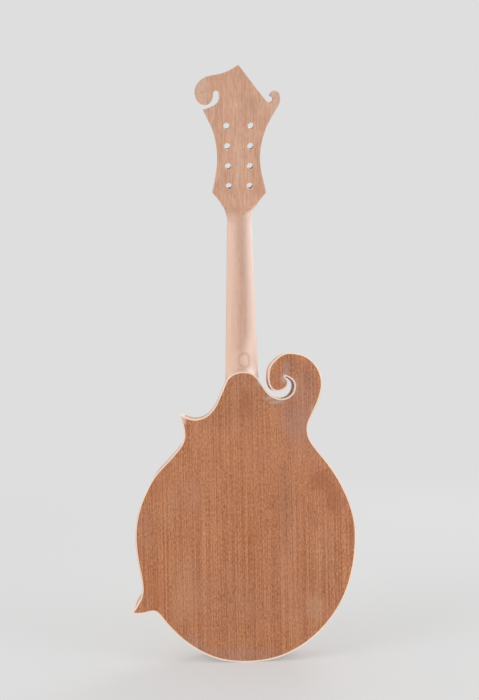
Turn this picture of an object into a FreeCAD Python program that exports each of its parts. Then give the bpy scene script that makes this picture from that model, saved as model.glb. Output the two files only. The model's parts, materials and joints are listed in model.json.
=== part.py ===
"""Scroll-bodied mandolin in the white: carved back and top, bent ribs and a one-piece neck.

Frame: +Z runs up the neck, the back faces -Y, and +X is the bass side, which carries the scroll.
The origin lies on the centre line at the fingerboard end of the nut, on the front face of the neck.
All lengths are in millimetres and all angles in degrees.
"""
import FreeCAD, Part
import math
import os

Vector = FreeCAD.Vector

# ---- Neck and headstock --------------------------------------------------------------------------
NECK_LENGTH = 185.5        # nut to the top of the back button
NECK_ANGLE = 4.5           # the neck leans back from the plane of the ribs
HEAD_PITCH = 14.5          # the headstock leans back from the neck
NUT_WIDTH = 28.6           # neck width at the nut
NECK_TAPER = 0.057         # growth of the neck's width per millimetre
NECK_DEPTH_NUT = 14.6      # wood behind the fingerboard at the nut
NECK_DEPTH_BODY = 17.4     # the same where the heel starts to grow
HEAD_THICKNESS = 14.0
VENEER_THICKNESS = 2.0
SECTION_LAP = 1.0          # the neck's rounded section is drawn this much past its flat face, then cut
BLANK_WIDTH = 70.8         # width of the neck blank; the headstock's ears are glued outside it
HEEL_LENGTH = 38.0         # from the start of the heel's curve to the button
HEEL_CURVE = 3.2           # exponent of the heel's hollow; a larger one turns later
HEEL_NARROWING = 0.003     # share of its width that the heel loses per millimetre of growth
FLARE_START = 12.0         # below the nut line, where the neck starts to widen into the headstock
FLARE_RADIUS = 41.0
FLARE_END = 14.0           # above the nut line, where the rounded neck ends inside the headstock
HEAD_LEDGE = 0.25          # the headstock's back stands this much proud of the rounded neck
NECK_FULLNESS = 2.3        # exponent of the neck's rounded section; a larger one is squarer
HEAD_FULLNESS = 9.0        # the same where the headstock begins
TUNER_BORE = 7.0
TUNER_PITCH = 22.75
TUNER_FIRST = 33.3         # from the nut line to the lowest row, along the headstock
TUNER_HALF_LOW = 12.2      # half the distance between the two columns at the lowest row
TUNER_HALF_HIGH = 14.0     # and at the highest row
TUNER_ROWS = 4

# ---- Body ----------------------------------------------------------------------------------------
BODY_DEPTH = 45.0          # over both plates at the edge
NECK_STAND = 6.6           # neck face above the top plate's edge at the button
PLATE_EDGE = 4.0           # thickness of both plates at the edge
PLATE_CENTRE = 4.6         # and at the crown
BACK_ARCH = 9.0            # rise of the back's crown above its edge
TOP_ARCH = 13.0            # rise of the top's crown above its edge
ARCH_LENGTH = 310.0        # length of the arched region of both plates
ARCH_MARGIN = 12.5         # from the top of the button to the arched region
ARCH_WIDTH = 228.0         # its width at the middle of its length
ARCH_NARROWING = 38.5      # how fast its half width shrinks from the middle towards the neck
ARCH_ROUNDING = 27.4       # how much its half width shrinks at both ends
ARCH_SHARPNESS = 2.4       # exponents of the arch's cross-section: crown
ARCH_RECURVE = 3           # and hollow towards the edge
ARCH_SURFACE_TOP = 28.0    # the drawn surface reaches this far above the button, past the scroll
BINDING_WIDTH = 1.8
RIB_THICKNESS = 2.2
LINING_WIDTH = 5.0
LINING_HEIGHT = 7.0
BUTTON_RADIUS = 26.3       # curve of the button's top
JOINT_DROP = 9.0           # from the top of the button to the face where neck and body meet
HEEL_ROOM = 24.0           # half the width cleared in the rim for the heel
HEAD_BLOCK_LENGTH = 40.0
TAIL_BLOCK_WIDTH = 64.0
TAIL_BLOCK_LENGTH = 24.0
POINT_CAP = 5.4            # length of the protector on each point

# ---- Neck joint ----------------------------------------------------------------------------------
DOVETAIL_LENGTH = 16.0
DOVETAIL_WIDTH = 18.0      # at the neck's end face
DOVETAIL_FLARE = 3.5       # growth on each side towards the tenon's end
DOVETAIL_FLOOR = 10.0      # wood of the head block left under the tenon
GLUE_GAP = 0.05

# ---- Fingerboard, nut and frets ------------------------------------------------------------------
SCALE_LENGTH = 352.0
FRET_COUNT = 22
BOARD_THICKNESS = 4.8
BOARD_OVERHANG = 6.0       # board left past the last fret
BOARD_BINDING = 1.5
FRET_CROWN = 1.4
FRET_HEIGHT = 1.0
FRET_TANG = 0.5
FRET_TANG_DEPTH = 1.8
DOT_RADIUS = 2.2
DOT_DEPTH = 1.2
SIDE_DOT_RADIUS = 0.8
SIDE_DOT_DEPTH = 1.2
DOT_FRETS = (3, 5, 7, 10, 15, 17)
OCTAVE_FRET = 12
OCTAVE_DOT_SPACING = 9.0
NUT_THICKNESS = 3.5
NUT_HEIGHT = 7.6
NUT_FALL = 1.6             # its top falls this much towards the headstock
STRING_SPREAD = 23.4       # outer string to outer string at the nut
COURSE_GAP = 2.2           # between the two strings of a course
STRING_SLOT = 0.7
STRING_FALL = 0.15         # slope of the string slots towards the headstock

# ---- Truss rod -----------------------------------------------------------------------------------
ROD_RADIUS = 1.9
ROD_CLEARANCE = 0.06       # between the turning rod and its end blocks
ROD_SPACE = 0.4            # between the turning rod and the wood and bar around it
ROD_LENGTH = 168.0
ROD_DEPTH = 5.5            # rod axis below the neck's face
ROD_BLOCK_LENGTH = 10.0
ROD_BLOCK_WIDTH = 7.0
ROD_BAR_HEIGHT = 2.5
ROD_BLOCK_TOP = 1.5        # end block above the rod
ROD_HEAD_GAP = 2.0         # from the nut line to the upper end block
NUT_HEX = 6.5              # across the flats of the adjuster's nut
NUT_LENGTH = 10.0
KEY_HEX = 3.6              # across the flats of the socket for the key
KEY_DEPTH = 5.0
ROD_START = 14.5           # the nut's outer end, above the nut line
POCKET_LENGTH = 22.0       # reach of the access pocket in the headstock
POCKET_WIDTH = 11.0
POCKET_FLOOR = 1.5         # room below the adjuster's nut
COVER_THICKNESS = 1.6
COVER_LENGTH = 36.0
COVER_WIDTH = 20.0
COVER_WAIST = 0.62         # share of its width that is left at the shoulder
COVER_SHOULDER = 0.45      # share of its length below the shoulder
SCREW_RADIUS = 1.1
SCREW_HEAD = 2.2
SCREW_HEAD_HEIGHT = 0.9
SCREW_LENGTH = 7.0
SCREW_SLOT_WIDTH = 0.5
SCREW_SLOT_DEPTH = 0.4
SCREW_PLACES = ((-7.4, 3.0), (7.4, 3.0), (0, 30.5))    # x, and the distance along the cover

# ---- Sound holes and bars ------------------------------------------------------------------------
F_HOLE_WIDTH = 7.6         # at the middle of the slot
F_HOLE_END = 0.35          # share of that width at the eyes
F_HOLE_SWING = 6.6         # how far the S swings out
F_HOLE_EYE_SHIFT = 0.7     # share of its radius by which an eye sits beside the slot
F_HOLE_EYE_HIGH = 4.0
F_HOLE_EYE_LOW = 5.0
F_HOLE_OFFSET = 56.0       # from the centre line to the middle of the f-hole
F_HOLE_HALF = 40.0         # half the distance between its eyes
F_HOLE_LEAN = 10.0
BAR_WIDTH = 6.0
BAR_HEIGHT = 10.5          # below the plate at the crown
BAR_FLAT = 0.35            # share of its length at full height
BAR_END = 1.0              # height left at both ends, below the edge's inside
BAR_BELOW_BRIDGE = 6.0     # from the end of the scale to the middle of the bar
BAR_LENGTH = 220.0
BAR_OFFSET = 22.0
BAR_SPLAY = 3.0

# ---- Outlines ------------------------------------------------------------------------------------
# Each run is a smooth stretch between two sharp corners. A knot is (x, z, heading), and tangent
# arcs join the knots. The body's knots are measured from the top of the button, anticlockwise as
# seen from behind with +X to the right.
BODY_RUNS = (
    ((0, 0, 180), (-21.2, -13, 249), (-30.6, -34.1, 246), (-53, -53.4, 187), (-74.4, -48.3, 163)),
    ((-74.4, -48.3, 284), (-69.3, -70.5, 271), (-84.5, -97.1, 226), (-108.3, -124.5, 239),
     (-126.9, -188, 270), (-122.6, -225.5, 280.5), (-119.8, -244.5, 273), (-132.5, -273.2, 233)),
    ((-132.5, -273.2, 343), (-123, -274.5, 2), (-109, -272.1, 9), (-97.8, -279.8, -53),
     (-80.5, -299.5, -44), (-44.5, -323.8, -24), (-1, -332, 0), (44.7, -323.9, 22.6),
     (96, -284.6, 51.3), (126.6, -188.5, 90), (113.8, -136.7, 114.5), (88, -96.5, 129.5),
     (73.6, -68.1, 90), (82.4, -44.5, 64.5), (91.2, -14.5, 90), (79.1, 12.3, 138), (54, 21, 180),
     (32.9, 8.6, 231), (28.6, -7.5, 268), (39, -23.8, 0), (51.9, -13, 92), (48.4, -6.4, 128)),
    ((48.4, -6.4, -15), (59.0, -17.5, -90), (44.5, -32.1, 180), (27.4, -23.5, 127),
     (18.1, -9.5, 122), (0, 0, 180)),
)
UPPER_POINT = (-74.4, -48.3)
LOWER_POINT = (-132.5, -273.2)
# The headstock's knots are measured on its back face: x, and the distance from the nut line
# along that face.
HEAD_START = 10.0
HEAD_START_SAG = 3.0       # how far the flat back's rounded end dips towards the neck
HEAD_RUNS = (
    ((-20.0, HEAD_START, 119), (-31.6, 25.6, 136)),
    ((-31.6, 25.6, 76), (-25.4, 65.5, 90), (-33.9, 105.8, 116), (-40.8, 119.6, 115)),
    ((-40.8, 119.6, 10), (-22.1, 133.5, 88), (-25.6, 140.8, 180), (-28.9, 136.5, 272), (-38.5, 125, 180),
     (-49.9, 138.5, 90), (-36, 156, 17), (-20, 159.2, 13), (0.2, 168.6, 34)),
    ((0.2, 168.6, -52), (26.5, 135.3, -51), (36.4, 127.3, 0), (39.5, 130.8, 95),
     (37.6, 133.1, 165), (35.6, 134, 152)),
    ((35.6, 134, 75), (42, 139.9, 0), (47.7, 131.5, -88), (41.5, 117.2, -122),
     (30.4, 96.2, -110), (24.5, 65, -90), (31.8, 25.4, -75.5)),
    ((31.8, 25.4, -130), (20.0, HEAD_START, -119)),
)

# ---- Derived places ------------------------------------------------------------------------------
NECK_SLOPE = math.tan(math.radians(NECK_ANGLE))
HEAD_ANGLE = NECK_ANGLE + HEAD_PITCH
HEAD_LEAN = HEAD_THICKNESS * math.sin(math.radians(HEAD_ANGLE))   # its front lies higher than its back
BUTTON_Z = -NECK_LENGTH
JOINT_Z = BUTTON_Z - JOINT_DROP
TOP_EDGE_Y = NECK_LENGTH * NECK_SLOPE - NECK_STAND
BACK_EDGE_Y = TOP_EDGE_Y - BODY_DEPTH
TOP_INSIDE_Y = TOP_EDGE_Y - PLATE_EDGE
BACK_INSIDE_Y = BACK_EDGE_Y + PLATE_EDGE
FAR = 400.0                # larger than the body, for cutting tools


def neck_face_y(z):
    """The front face of the neck at height z."""
    return -z * NECK_SLOPE


def neck_half_width(z):
    return (NUT_WIDTH - z * NECK_TAPER) / 2


def shoulder_half_width(z):
    """Half the width where the neck widens into the headstock, at a height on the neck's back."""
    flare = max(0.0, z + FLARE_START)
    return neck_half_width(z) + flare * flare / (2 * FLARE_RADIUS)


def head_front_y(z):
    """The front face of the headstock's core, which starts at the far side of the nut."""
    return neck_face_y(NUT_THICKNESS) - (z - NUT_THICKNESS) * math.tan(math.radians(HEAD_ANGLE))


def head_back_y(z):
    return head_front_y(z) - HEAD_THICKNESS / math.cos(math.radians(HEAD_ANGLE))


# ---- Drawing helpers -----------------------------------------------------------------------------
def arc_edge(start, direction, end):
    """The arc that leaves start along direction and arrives at end."""
    chord = end - start
    side = Vector(-direction.z, 0, direction.x)
    across = chord.dot(side)
    if abs(across) < 1e-6:
        return Part.LineSegment(start, end).toShape()
    radius = chord.dot(chord) / (2 * across)
    centre = start + side * radius
    half_turn = math.atan2(across, chord.dot(direction))
    spoke = start - centre
    cosine = math.cos(half_turn)
    sine = math.sin(half_turn)
    middle = centre + Vector(spoke.x * cosine - spoke.z * sine, 0, spoke.x * sine + spoke.z * cosine)
    return Part.Arc(start, middle, end).toShape()


def unit(heading):
    return Vector(math.cos(math.radians(heading)), 0, math.sin(math.radians(heading)))


def joined_arcs(first, last):
    """Two arcs that share a tangent and keep the heading of both knots."""
    start = Vector(first[0], 0, first[1])
    end = Vector(last[0], 0, last[1])
    leave = unit(first[2])
    arrive = unit(last[2])
    chord = end - start
    along = chord.dot(leave + arrive)
    bend = 2 * (1 - leave.dot(arrive))
    if bend < 1e-6:
        reach = chord.dot(chord) / (2 * along)
    else:
        reach = (math.sqrt(along * along + bend * chord.dot(chord)) - along) / bend
    middle = (start + leave * reach + end - arrive * reach) * 0.5
    return [arc_edge(start, leave, middle), arc_edge(end, arrive * -1, middle)]


def run_edges(run):
    edges = []
    for first, last in zip(run[:-1], run[1:]):
        edges += joined_arcs(first, last)
    return edges


def closed_face(edges):
    return Part.Face(Part.Wire(Part.__sortEdges__(edges)))


def polygon(points):
    """A flat face in the XZ plane through (x, z) points."""
    corners = [Vector(x, 0, z) for x, z in points]
    return Part.Face(Part.makePolygon(corners + corners[:1]))


def prism(face, y_low, y_high):
    moved = face.copy()
    moved.translate(Vector(0, y_low, 0))
    return moved.extrude(Vector(0, y_high - y_low, 0))


def side_prism(points, half_width):
    """A solid from (y, z) points, centred on the YZ plane."""
    corners = [Vector(-half_width, y, z) for y, z in points]
    return Part.Face(Part.makePolygon(corners + corners[:1])).extrude(Vector(2 * half_width, 0, 0))


def box(x_low, x_high, y_low, y_high, z_low, z_high):
    return Part.makeBox(x_high - x_low, y_high - y_low, z_high - z_low, Vector(x_low, y_low, z_low))


def inset(face, distance):
    """The face drawn in by a distance on every side."""
    return face.makeOffset2D(-distance)


def placed_on_head(shape):
    """Moves a shape drawn at the nut line into the plane of the headstock's back face."""
    moved = shape.copy()
    moved.rotate(Vector(0, 0, 0), Vector(1, 0, 0), HEAD_ANGLE)
    moved.translate(Vector(0, head_back_y(0), 0))
    return moved


def placed_on_neck(shape):
    """Moves a shape drawn on the XZ plane onto the front face of the neck."""
    moved = shape.copy()
    moved.rotate(Vector(0, 0, 0), Vector(1, 0, 0), NECK_ANGLE)
    return moved


# ---- Body outlines -------------------------------------------------------------------------------
def body_face():
    edges = []
    for run in BODY_RUNS:
        edges += run_edges([(x, z + BUTTON_Z, heading) for x, z, heading in run])
    return closed_face(edges)


OUTLINE = body_face()
PLATE_OUTLINE = inset(OUTLINE, BINDING_WIDTH)
INSIDE = inset(OUTLINE, RIB_THICKNESS)
LINED = inset(OUTLINE, RIB_THICKNESS + LINING_WIDTH)


def arch_share(x, z):
    """The share of the arch's rise at a point: 1 at the crown and 0 outside the arching line."""
    half_length = ARCH_LENGTH / 2
    along = (z - (BUTTON_Z - ARCH_MARGIN - half_length)) / half_length
    half_width = ARCH_WIDTH / 2 - ARCH_NARROWING * along - ARCH_ROUNDING * along * along
    reach = math.hypot(along, x / max(half_width, ARCH_WIDTH / 6))
    return max(0.0, 1.0 - reach ** ARCH_SHARPNESS) ** ARCH_RECURVE


def arched_half_space(edge_y, rise):
    """Everything on the +Y side of an arched surface that lies at edge_y outside the arching line."""
    step = 8.0
    rows = []
    for row in range(-2, 48):
        z = BUTTON_Z + ARCH_SURFACE_TOP - row * step
        places = [column * step for column in range(-19, 20)]
        rows.append([Vector(x, edge_y + rise * arch_share(x, z), z) for x in places])
    surface = Part.BSplineSurface()
    surface.interpolate(rows)
    return surface.toShape().extrude(Vector(0, 100, 0))


# ---- Plates and their bindings -------------------------------------------------------------------
def below_joint(shape):
    """The shape without the place behind the button's top that the neck's heel fills."""
    heel_room = box(-HEEL_ROOM, HEEL_ROOM, BACK_INSIDE_Y, TOP_EDGE_Y + 30, JOINT_Z, 0)
    return shape.cut(heel_room)


def arched_plate(edge_y, inside_y, rise):
    """An arched plate whose edge lies between edge_y and inside_y; the rise is negative towards -Y."""
    thinner = math.copysign(PLATE_CENTRE - PLATE_EDGE, rise)
    outer = arched_half_space(edge_y, rise)
    inner = arched_half_space(inside_y, rise - thinner)
    blank = prism(PLATE_OUTLINE, min(edge_y + rise, inside_y) - 1, max(edge_y + rise, inside_y) + 1)
    if rise < 0:
        return blank.common(outer).cut(inner)
    return blank.cut(outer).common(inner)


def f_hole(side):
    """One sound hole: two round eyes joined by a leaning S-shaped slot."""
    middle_z = -SCALE_LENGTH
    lean = math.radians(F_HOLE_LEAN)
    high = Vector(side * (F_HOLE_OFFSET - F_HOLE_HALF * math.sin(lean)), 0, middle_z + F_HOLE_HALF)
    low = Vector(side * (F_HOLE_OFFSET + F_HOLE_HALF * math.sin(lean)), 0, middle_z - F_HOLE_HALF)
    swing = Vector(side * F_HOLE_SWING, 0, 0)
    spine = []
    steps = 12
    for step in range(steps + 1):
        share = step / steps
        bow = math.sin(2 * math.pi * share)
        spine.append(high + (low - high) * share + swing * bow)
    edges = []
    for side_sign in (1, -1):
        rim = []
        for index, point in enumerate(spine):
            share = index / steps
            half = F_HOLE_WIDTH / 2 * (F_HOLE_END + (1 - F_HOLE_END) * math.sin(math.pi * share))
            rim.append(point + Vector(side_sign * half, 0, 0))
        curve = Part.BSplineCurve()
        curve.interpolate(rim)
        edges.append((rim, curve.toShape()))
    ends = [Part.LineSegment(edges[0][0][0], edges[1][0][0]).toShape(),
            Part.LineSegment(edges[0][0][-1], edges[1][0][-1]).toShape()]
    slot = closed_face([edges[0][1], edges[1][1]] + ends)
    shape = prism(slot, TOP_INSIDE_Y - 5, TOP_EDGE_Y + 30)
    for eye, radius, turn in ((high, F_HOLE_EYE_HIGH, -side), (low, F_HOLE_EYE_LOW, side)):
        centre = eye + Vector(turn * radius * F_HOLE_EYE_SHIFT, TOP_INSIDE_Y - 5, 0)
        shape = shape.fuse(Part.makeCylinder(radius, 60, centre, Vector(0, 1, 0)))
    return shape


def back_plate():
    return arched_plate(BACK_EDGE_Y, BACK_INSIDE_Y, -BACK_ARCH)


def top_plate():
    plate = below_joint(arched_plate(TOP_EDGE_Y, TOP_INSIDE_Y, TOP_ARCH))
    for side in (-1, 1):
        plate = plate.cut(f_hole(side))
    return plate.cut(dovetail(GLUE_GAP))


def back_binding():
    strip = prism(OUTLINE, BACK_EDGE_Y, BACK_INSIDE_Y)
    return strip.cut(prism(PLATE_OUTLINE, BACK_EDGE_Y, BACK_INSIDE_Y))


def top_binding():
    strip = prism(OUTLINE, TOP_INSIDE_Y, TOP_EDGE_Y).cut(prism(PLATE_OUTLINE, TOP_INSIDE_Y, TOP_EDGE_Y))
    return below_joint(strip)


# ---- Ribs, blocks and linings --------------------------------------------------------------------
def from_button(points):
    """A polygon from points measured from the top of the button."""
    return polygon([(x, z + BUTTON_Z) for x, z in points])


# Sectors of the body, each a polygon measured from the button. Their borders cross the rim where
# its pieces meet.
INNER_UPPER = (-52, -72)
INNER_LOWER = (-104, -258)
SECTORS = {
    "treble_upper": [(0, 40), (-110, 40), UPPER_POINT, INNER_UPPER, (0, -72)],
    "treble_middle": [UPPER_POINT, INNER_UPPER, INNER_LOWER, LOWER_POINT, (-200, -260), (-200, -40)],
    "treble_lower": [LOWER_POINT, INNER_LOWER, (0, -258), (0, -380), (-200, -380)],
    "scroll_slot": [(5, -12), (22, -8), (27, -19), (39, -28), (50, -25), (55.4, -15.5),
                    (48.4, -6.4), (47, -1), (56, 0), (70, -18), (60, -44), (20, -44)],
}


def sector(name):
    return prism(from_button(SECTORS[name]), BACK_INSIDE_Y, TOP_INSIDE_Y)


def point_tip(point, inner):
    """The end of a point, cut square to the line from its tip to the body."""
    tip = Vector(point[0], 0, point[1] + BUTTON_Z)
    inward = Vector(inner[0] - point[0], 0, inner[1] - point[1]).normalize()
    side = Vector(-inward.z, 0, inward.x) * 20
    start = tip - inward * 5
    end = tip + inward * POINT_CAP
    corners = [start + side, end + side, end - side, start - side]
    return polygon([(corner.x, corner.z) for corner in corners])


def point_cap(point, inner):
    column = prism(OUTLINE, BACK_INSIDE_Y, TOP_INSIDE_Y)
    return column.common(prism(point_tip(point, inner), BACK_INSIDE_Y, TOP_INSIDE_Y))


def rim_ring():
    """The whole rim, without the neck's place and the two point protectors."""
    ring = prism(OUTLINE, BACK_INSIDE_Y, TOP_INSIDE_Y).cut(prism(INSIDE, BACK_INSIDE_Y, TOP_INSIDE_Y))
    ring = below_joint(ring)
    for point, inner in ((UPPER_POINT, INNER_UPPER), (LOWER_POINT, INNER_LOWER)):
        ring = ring.cut(prism(point_tip(point, inner), BACK_INSIDE_Y, TOP_INSIDE_Y))
    return ring


def block(points):
    """A solid block that fills the inside of the rim within a polygon measured from the button."""
    column = prism(INSIDE, BACK_INSIDE_Y, TOP_INSIDE_Y)
    return column.common(prism(from_button(points), BACK_INSIDE_Y, TOP_INSIDE_Y))


def dovetail(gap):
    """The neck's tenon, widening away from the neck; a gap makes it the socket instead."""
    near = DOVETAIL_WIDTH / 2 + gap
    far = near + DOVETAIL_FLARE
    end_z = JOINT_Z - DOVETAIL_LENGTH - gap
    face = polygon([(-near, JOINT_Z), (near, JOINT_Z), (far, end_z), (-far, end_z)])
    return prism(face, BACK_INSIDE_Y + DOVETAIL_FLOOR - gap, neck_face_y(JOINT_Z))


HEAD_BLOCK_END = -JOINT_DROP - HEAD_BLOCK_LENGTH
HEAD_BLOCK = [(-34, HEAD_BLOCK_END), (34, HEAD_BLOCK_END), (34, 0), (-34, 0)]
SCROLL_BLOCK = [(34, 40), (34, HEAD_BLOCK_END), (76, HEAD_BLOCK_END), (110, -20), (110, 40)]
BODY_END = min(z for run in BODY_RUNS for x, z, heading in run)
TAIL_TOP = BODY_END + RIB_THICKNESS + TAIL_BLOCK_LENGTH
TAIL_BLOCK = [(-TAIL_BLOCK_WIDTH / 2, TAIL_TOP), (TAIL_BLOCK_WIDTH / 2, TAIL_TOP),
              (TAIL_BLOCK_WIDTH / 2, BODY_END - 5), (-TAIL_BLOCK_WIDTH / 2, BODY_END - 5)]
UPPER_BLOCK = [(-52, -45), (-60, -72), (-90, -72), (-90, -45)]
LOWER_BLOCK = [(-112, -258), (-104, -280), (-140, -280), (-140, -258)]


def head_block():
    body = below_joint(block(HEAD_BLOCK))
    return body.cut(dovetail(GLUE_GAP))


def main_solid(shape):
    """The largest solid of a cut, which drops slivers left at a border."""
    return max(shape.Solids, key=lambda solid: solid.Volume)


def lining_ring(y_low, y_high, blocks):
    ring = prism(INSIDE, y_low, y_high).cut(prism(LINED, y_low, y_high))
    for solid in blocks:
        ring = ring.cut(solid)
    return ring


# ---- Tone bars -----------------------------------------------------------------------------------
def tone_bar(side, under_top):
    """A bar along the inside of the top, fitted to the arch and tapered at both ends."""
    half = BAR_LENGTH / 2
    flat = half * BAR_FLAT
    crown_y = TOP_INSIDE_Y + TOP_ARCH
    deep_y = crown_y - PLATE_CENTRE - BAR_HEIGHT
    end_y = TOP_INSIDE_Y - BAR_END
    profile = [(end_y, -half), (deep_y, -flat), (deep_y, flat), (end_y, half), (crown_y, half),
               (crown_y, -half)]
    bar = side_prism(profile, BAR_WIDTH / 2)
    bar.rotate(Vector(0, 0, 0), Vector(0, 1, 0), side * BAR_SPLAY)
    bar.translate(Vector(side * BAR_OFFSET, 0, -SCALE_LENGTH - BAR_BELOW_BRIDGE))
    return main_solid(bar.cut(under_top))


# ---- Neck ----------------------------------------------------------------------------------------
def smooth_step(value):
    share = min(1.0, max(0.0, value))
    return share * share * (3 - 2 * share)


def heel_growth(x, z):
    """Extra depth of the heel: a hollow curve that meets the back along the button's rounded top."""
    fall = BUTTON_RADIUS - math.sqrt(max(BUTTON_RADIUS ** 2 - x * x, 1.0))
    reach = (BUTTON_Z + HEEL_LENGTH - (z + fall)) / HEEL_LENGTH
    if reach <= 0:
        return 0.0
    full = neck_face_y(BUTTON_Z) - NECK_DEPTH_BODY - BACK_INSIDE_Y
    return full * reach ** HEEL_CURVE


def neck_surface_point(angle, z):
    """A point of the neck's rounded back; the angle runs from -90 to 90 degrees across it."""
    depth_share = min(1.0, max(0.0, -z / (NECK_LENGTH - HEEL_LENGTH)))
    depth = NECK_DEPTH_NUT + (NECK_DEPTH_BODY - NECK_DEPTH_NUT) * depth_share
    depth = max(depth, neck_face_y(z) - head_back_y(z) - HEAD_LEDGE)
    squareness = smooth_step((z + FLARE_START) / (FLARE_START + FLARE_END))
    fullness = NECK_FULLNESS + (HEAD_FULLNESS - NECK_FULLNESS) * squareness
    across = math.sin(math.radians(angle))
    along = max(0.0, math.cos(math.radians(angle)))
    towards_back = along ** (2 / fullness)
    half_width = shoulder_half_width(z - HEAD_LEAN * (1 - towards_back))
    x = half_width * math.copysign(abs(across) ** (2 / fullness), across)
    growth = heel_growth(x, z)
    y = neck_face_y(z) + SECTION_LAP - (depth + SECTION_LAP) * towards_back - growth
    return Vector(x * (1 - HEEL_NARROWING * growth), y, z)


def neck_shaft():
    step = 4.0
    top_z = FLARE_END
    rows = []
    for row in range(math.ceil((top_z - JOINT_Z) / step) + 3):
        z = top_z + step - row * step
        rows.append([neck_surface_point(angle, z) for angle in range(-90, 91, 10)])
    surface = Part.BSplineSurface()
    surface.interpolate(rows)
    wood = surface.toShape().extrude(Vector(0, 120, 0))
    front = [(neck_face_y(JOINT_Z), JOINT_Z), (neck_face_y(NUT_THICKNESS), NUT_THICKNESS),
             (head_front_y(top_z), top_z), (BACK_INSIDE_Y, top_z), (BACK_INSIDE_Y, JOINT_Z)]
    return wood.common(side_prism(front, 40))


def head_outline():
    edges = []
    for run in HEAD_RUNS:
        edges += run_edges(run)
    start = HEAD_RUNS[0][0]
    end = HEAD_RUNS[-1][-1]
    middle = Vector(0, 0, HEAD_START - HEAD_START_SAG)
    edges.append(Part.Arc(Vector(end[0], 0, end[1]), middle, Vector(start[0], 0, start[1])).toShape())
    return closed_face(edges)


def tuner_places():
    """(x, distance along the headstock) of each tuner hole."""
    places = []
    for row in range(TUNER_ROWS):
        share = row / (TUNER_ROWS - 1)
        half = TUNER_HALF_LOW + (TUNER_HALF_HIGH - TUNER_HALF_LOW) * share
        for side in (-1, 1):
            places.append((side * half, TUNER_FIRST + row * TUNER_PITCH))
    return places


def tuner_bores():
    bores = []
    for x, along in tuner_places():
        bores.append(Part.makeCylinder(TUNER_BORE / 2, HEAD_THICKNESS + VENEER_THICKNESS + 4,
                                       Vector(x, -2, along), Vector(0, 1, 0)))
    return placed_on_head(Part.makeCompound(bores))


def head_slab(low, high):
    """The whole headstock outline between two distances from its back face."""
    return placed_on_head(prism(head_outline(), low, high))


def blank_room():
    """The width of the neck blank, which the headstock's core keeps and its ears leave."""
    return box(-BLANK_WIDTH / 2, BLANK_WIDTH / 2, -120, 60, -20, 220)


ROD_BAR_TOP = -ROD_DEPTH - ROD_RADIUS - ROD_SPACE
ROD_BLOCK_FACE = -ROD_DEPTH + ROD_RADIUS + ROD_BLOCK_TOP


def rod_channel():
    """The truss rod's slot, open at the neck's face, with the access pocket above the nut."""
    half = ROD_BLOCK_WIDTH / 2 + GLUE_GAP
    bottom = ROD_BAR_TOP - ROD_BAR_HEIGHT - ROD_SPACE
    slot = box(-half, half, bottom, 30, -ROD_LENGTH - GLUE_GAP, NUT_THICKNESS)
    pocket_low = -ROD_DEPTH - NUT_HEX / 2 - POCKET_FLOOR
    pocket = box(-POCKET_WIDTH / 2, POCKET_WIDTH / 2, pocket_low, 30, NUT_THICKNESS, POCKET_LENGTH)
    return placed_on_neck(slot.fuse(pocket))


def neck():
    core = head_slab(0, HEAD_THICKNESS).common(blank_room()).cut(tuner_bores())
    core = main_solid(core)
    body = neck_shaft().fuse(core).fuse(dovetail(0)).removeSplitter()
    return main_solid(body.cut(rod_channel()).cut(screw_holes()))


def headstock_ears():
    outside = head_slab(0, HEAD_THICKNESS).cut(blank_room())
    left = sorted([s for s in outside.Solids if s.CenterOfMass.x < 0], key=lambda s: s.Volume)
    right = [s for s in outside.Solids if s.CenterOfMass.x > 0]
    return left[-1], left[0], main_solid(Part.makeCompound(right))


def veneer_foot():
    """The veneer's plan between the nut and the headstock's own outline."""
    rim = []
    for along in (-NUT_THICKNESS, 0, HEAD_START / 2, HEAD_START + HEAD_LEDGE):
        height = along * math.cos(math.radians(HEAD_ANGLE))
        rim.append((shoulder_half_width(height) - HEAD_LEDGE, along))
    return polygon(rim + [(-x, along) for x, along in reversed(rim)])


def headstock_veneer():
    foot = placed_on_head(prism(veneer_foot(), HEAD_THICKNESS, HEAD_THICKNESS + VENEER_THICKNESS))
    sheet = head_slab(HEAD_THICKNESS, HEAD_THICKNESS + VENEER_THICKNESS).fuse(foot).removeSplitter()
    sheet = sheet.cut(tuner_bores())
    half = POCKET_WIDTH / 2
    pocket = placed_on_neck(box(-half, half, -30, 30, NUT_THICKNESS - 1, POCKET_LENGTH))
    nut_room = placed_on_neck(box(-40, 40, -60, 60, -20, NUT_THICKNESS))
    return main_solid(sheet.cut(pocket).cut(nut_room).cut(screw_holes()))


# ---- Fingerboard ---------------------------------------------------------------------------------
def fret_distance(number):
    return SCALE_LENGTH * (1 - 2 ** (-number / 12))


BOARD_LENGTH = fret_distance(FRET_COUNT) + BOARD_OVERHANG


def board_half_width(distance):
    return (NUT_WIDTH + distance * NECK_TAPER) / 2


def board_plan(trim):
    """The fingerboard's plan, drawn in by a trim at its sides and its body end."""
    end = BOARD_LENGTH - trim
    return polygon([(-board_half_width(0) + trim, 0), (board_half_width(0) - trim, 0),
                    (board_half_width(end) - trim, -end), (-board_half_width(end) + trim, -end)])


def dot_places():
    """(x, distance from the nut) of every position dot."""
    places = []
    for number in DOT_FRETS:
        places.append((0, (fret_distance(number - 1) + fret_distance(number)) / 2))
    middle = (fret_distance(OCTAVE_FRET - 1) + fret_distance(OCTAVE_FRET)) / 2
    places += [(-OCTAVE_DOT_SPACING / 2, middle), (OCTAVE_DOT_SPACING / 2, middle)]
    return places


def dot_cylinders():
    floor = BOARD_THICKNESS - DOT_DEPTH
    return [Part.makeCylinder(DOT_RADIUS, DOT_DEPTH, Vector(x, floor, -distance), Vector(0, 1, 0))
            for x, distance in dot_places()]


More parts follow.
